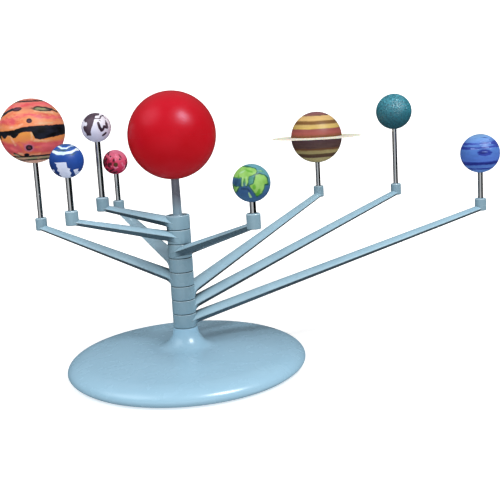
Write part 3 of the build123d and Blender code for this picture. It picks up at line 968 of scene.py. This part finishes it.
def make_camera():
    data = bpy.data.cameras.new("camera")
    data.lens = CAMERA_LENS
    data.sensor_width = CAMERA_SENSOR
    data.shift_y = CAMERA_SHIFT
    data.clip_start, data.clip_end = 0.01, 50
    camera = bpy.data.objects.new("camera", data)
    bpy.context.scene.collection.objects.link(camera)
    right, up, forward = camera_axes()
    axes = Matrix((right, up, -forward)).transposed()
    camera.matrix_world = Matrix.Translation(CAMERA_PLACE) @ axes.to_4x4()
    bpy.context.scene.camera = camera


def stage_material():
    """White paper that glows a little, so that it stays even, and is clear from its outside."""
    skin = Surface("white_sweep")
    white = skin.add("BsdfDiffuse", {"Color": (0.86, 0.86, 0.86, 1)})
    distance = skin.add("VectorMath", {0: skin.place}, operation="LENGTH").outputs["Value"]
    strength = skin.span(distance, 0.1, 0.6, 0.5, 1.0)
    glow = skin.add("Emission", {"Color": (1, 1, 1, 1), "Strength": strength})
    both = skin.add("AddShader", {0: white.outputs[0], 1: glow.outputs[0]})
    clear = skin.add("BsdfTransparent")
    outside = skin.add("NewGeometry").outputs["Backfacing"]
    mixed = skin.add("MixShader", {0: outside, 1: both.outputs[0], 2: clear.outputs[0]})
    skin.add("OutputMaterial", {"Surface": mixed.outputs[0]})
    return skin.material


def make_stage():
    """A round white sweep: flat floor, then a wide curve up to a wall all round."""
    flat, curve, height = 1.9, 1.0, 3.2
    floor_steps = np.linspace((0.2, 0), (flat, 0), 8)
    bend = arc((flat, curve), curve, -90, 0, 24)
    outline = [(0, 0), *floor_steps, *bend, (flat + curve, height)]
    floor = revolved("sweep", outline[::-1], segments=160, closed=False)
    floor.data.materials.append(stage_material())
    floor.visible_glossy = False
    floor.visible_diffuse = False
    floor.visible_transmission = False


def softbox(name, direction, distance, size, power):
    """A round soft light that looks at the orrery's middle from a direction."""
    data = bpy.data.lights.new(name, "AREA")
    data.shape = "DISK"
    data.size = size
    data.energy = power
    lamp = bpy.data.objects.new(name, data)
    bpy.context.scene.collection.objects.link(lamp)
    place = LIGHT_TARGET + Vector(direction).normalized() * distance
    lamp.location = place
    lamp.rotation_mode = "QUATERNION"
    lamp.rotation_quaternion = (place - LIGHT_TARGET).to_track_quat("Z", "Y")
    return lamp


def grey(level):
    return (level, level, level, 1)


def greys(*stops):
    """Stops of a ramp from (value, level) pairs."""
    return [(value, grey(level)) for value, level in stops]


def make_world():
    """Soft light from above and in front for matt surfaces, a studio of panels for glossy ones."""
    world = bpy.data.worlds.new("studio")
    bpy.context.scene.world = world
    world.use_nodes = True
    sky = Surface.__new__(Surface)
    sky.tree = world.node_tree
    sky.tree.nodes.clear()
    sky.place = sky.add("TexCoord").outputs["Generated"]
    x, y, z = sky.add("SeparateXYZ", {0: sky.place}).outputs
    height = sky.span(z, -1, 1, 0, 1, False)
    soft = sky.ramp(height, greys((0.0, 0.75), (0.2, 1.0), (0.4, 0.95), (0.6, 0.85), (1.0, 0.85)))
    front = sky.span(y, -1, 0.3, 1.5, 0.74)
    soft = sky.times(soft, sky.math("MULTIPLY", front, sky.span(x, -1, 1, 0.72, 1.22, False)))
    turn = sky.math("ARCTAN2", x, sky.math("MULTIPLY", y, -1.0))
    turn = sky.span(turn, -math.pi, math.pi, 0, 1, False)
    walls = sky.ramp(turn, greys(
        (0.0, 0.02), (0.16, 0.02), (0.2, 0.3), (0.27, 0.3), (0.29, 0.12), (0.33, 0.12), (0.36, 0.9),
        (0.5, 1.3), (0.535, 1.3), (0.55, 0.002), (0.82, 0.002), (0.85, 0.1),
    ))
    above = sky.ramp(height, greys((0.0, 0.1), (0.55, 0.12), (0.7, 0.2), (0.85, 0.5), (1.0, 0.7)))
    level = sky.math("ABSOLUTE", sky.math("ADD", z, 0.2))
    gloss = sky.mix(sky.span(level, 0.28, 0.36), walls, above)
    rays = sky.add("LightPath").outputs
    shown = sky.mix(rays["Is Glossy Ray"], soft, gloss)
    shown = sky.mix(rays["Is Camera Ray"], shown, grey(1.3))
    light = sky.add("Background", {"Color": shown, "Strength": 0.735})
    sky.add("OutputWorld", {"Surface": light.outputs[0]})


def make_light():
    softbox("key", (0.374, -0.468, 0.801), 1.2, 0.3, 4.5)
    fill = softbox("fill_left", (-0.62, -0.24, 0.75), 1.2, 0.6, 4.0)
    gleam = softbox("gleam", (0.465, -0.52, 0.715), 1.1, 0.5, 13.0)
    left_gleam = softbox("left_gleam", (-0.66, -0.2, 0.72), 1.1, 0.85, 4.0)
    fill.visible_glossy = False
    for lamp in (gleam, left_gleam):
        lamp.visible_diffuse = False


# ---- Everything together

plastic = grey_blue_plastic("grey_blue_plastic", (163, 205, 229), (161, 203, 227))
# The arms' copy of the plastic carries painted shade and painted edge highlights.
arm_plastic_painted_shade = grey_blue_plastic("grey_blue_arm_plastic", (163, 200, 218), (156, 193, 212), True)
steel = polished_steel()
zinc = zinc_steel()
rubber = black_rubber()
for planet in PLANETS:
    arm(planet, arm_plastic_painted_shade)
    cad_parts[f"{planet}_rod"].data.materials[0] = steel
base_dome(plastic)
sun_stem(stem_plastic())
thin_ring(ring_cream())
painted_ball("sun", "stand", sun_shade_tone, sun_red(), 72)

plain_nodes = {
    "base_cover": plastic, "spindle": plastic, "rubber_feet": rubber, "ballast_plate": zinc,
    "base_screws": zinc, "spindle_screws": zinc,
}
for node, material in plain_nodes.items():
    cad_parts[node].data.materials[0] = material

balls = {
    "mercury": (paint_mercury, 48, [
        (0, 210, 208, 232), (30, 214, 214, 238), (60, 226, 226, 242), (100, 238, 234, 244),
    ], [
        ("dark", (50, 28, 50), (86, 70, 84), 0.0),
    ]),
    "venus": (paint_venus, 48, [
        (0, 22, 48, 104), (35, 20, 58, 132), (60, 28, 76, 164), (85, 36, 88, 182), (100, 60, 108, 160),
    ], [
        ("pale", (204, 214, 244), (220, 226, 246), 0.0),
        ("white", (208, 236, 244), (236, 246, 250), 0.01), ("teal", (48, 84, 100), (76, 108, 108), 0.01),
    ]),
    "earth": (paint_earth, 56, [
        (0, 64, 110, 152), (30, 54, 94, 142), (50, 62, 104, 152), (70, 90, 150, 166),
        (100, 106, 166, 180),
    ], [
        ("navy", (30, 62, 100), (46, 92, 124), 0.05), ("teal", (70, 140, 118), (104, 172, 160), 0.05),
        ("land", (128, 184, 80), (150, 200, 106), 0.0), ("shore", (32, 92, 74), (50, 116, 92), 0.012),
        ("spot", (84, 160, 40), (104, 172, 58), 0.03), ("pale", (156, 206, 140), (176, 216, 170), 0.02),
    ]),
    "mars": (paint_mars, 44, [
        (0, 150, 26, 62), (35, 214, 50, 92), (65, 222, 84, 118), (100, 206, 124, 150),
    ], [
        ("rose", (228, 112, 142), (236, 136, 164), 0.03), ("wine", (176, 30, 66), (160, 36, 72), 0.07),
        ("dark", (84, 14, 34), (60, 26, 34), 0.01), ("olive", (74, 40, 22), (96, 70, 40), 0.02),
    ]),
    "jupiter": (paint_jupiter, 88, [
        (0, 236, 188, 168), (7, 232, 176, 156), (13, 232, 146, 104), (20, 214, 84, 92),
        (31, 218, 92, 104), (36, 226, 136, 78), (48, 230, 150, 70), (58, 236, 140, 98),
        (66, 236, 148, 98), (78, 228, 150, 104), (88, 216, 126, 108), (100, 206, 118, 100),
    ], [
        ("ember", (226, 96, 72), (232, 132, 74), 0.07), ("rose", (224, 84, 92), (234, 108, 112), 0.06),
        ("cream", (238, 192, 142), (242, 178, 148), 0.035),
        ("halo", (196, 96, 124), (208, 118, 140), 0.015), ("ink", (9, 9, 13), (22, 28, 46), 0.0),
        ("core", (118, 58, 48), (92, 44, 70), 0.01), ("wash", (152, 156, 112), (172, 158, 130), 0.012),
    ]),
    "saturn": (paint_saturn, 80, [
        (0, 96, 112, 92), (2, 150, 146, 102), (3, 180, 166, 116), (11, 186, 172, 122), (12.8, 92, 66, 54),
        (19, 98, 76, 52), (20.8, 172, 158, 108), (26.8, 172, 154, 104), (28, 98, 74, 64),
        (49, 96, 68, 78), (52, 146, 84, 62), (60, 164, 86, 80), (67.5, 148, 78, 76), (69, 206, 178, 96),
        (75.5, 204, 172, 104), (77.5, 122, 84, 42), (82.5, 132, 94, 50), (84, 218, 182, 116),
        (92.5, 220, 182, 122), (93.5, 138, 86, 78), (100, 138, 88, 96),
    ], [
        ("warm", (124, 76, 44), (116, 80, 48), 0.05), ("thin", (88, 60, 64), (104, 76, 72), 0.01),
    ]),
    "neptune": (paint_neptune, 56, [
        (0, 100, 148, 222), (12, 92, 136, 216), (30, 76, 112, 204), (60, 80, 124, 204),
        (80, 92, 134, 212), (90, 116, 162, 226), (100, 118, 164, 214),
    ], [
        ("navy", (36, 58, 158), (50, 70, 170), 0.012), ("rim", (26, 42, 132), (34, 48, 142), 0.03),
        ("pale", (130, 158, 236), (156, 184, 244), 0.015),
    ]),
}
warps = {"saturn": 0.004}
stretches = {"jupiter": 2.6, "saturn": 9.0, "neptune": 5.0}
for planet, (paint, rows, bands, layers) in balls.items():
    warp, stretch = warps.get(planet, 0.012), stretches.get(planet, 1.0)
    material = painted(f"{planet}_paint", bands, layers, warp, stretch)
    painted_ball(planet, f"{planet}_orbit", paint, material, rows)
uranus_skin = crackled("uranus_paint", (30, 90, 106), (44, 136, 156))
painted_ball("uranus", "uranus_orbit", paint_uranus, uranus_skin, 128, 0.15 * MM)

make_camera()
make_stage()
make_world()
make_light()
bpy.context.scene.view_settings.view_transform = "Standard"
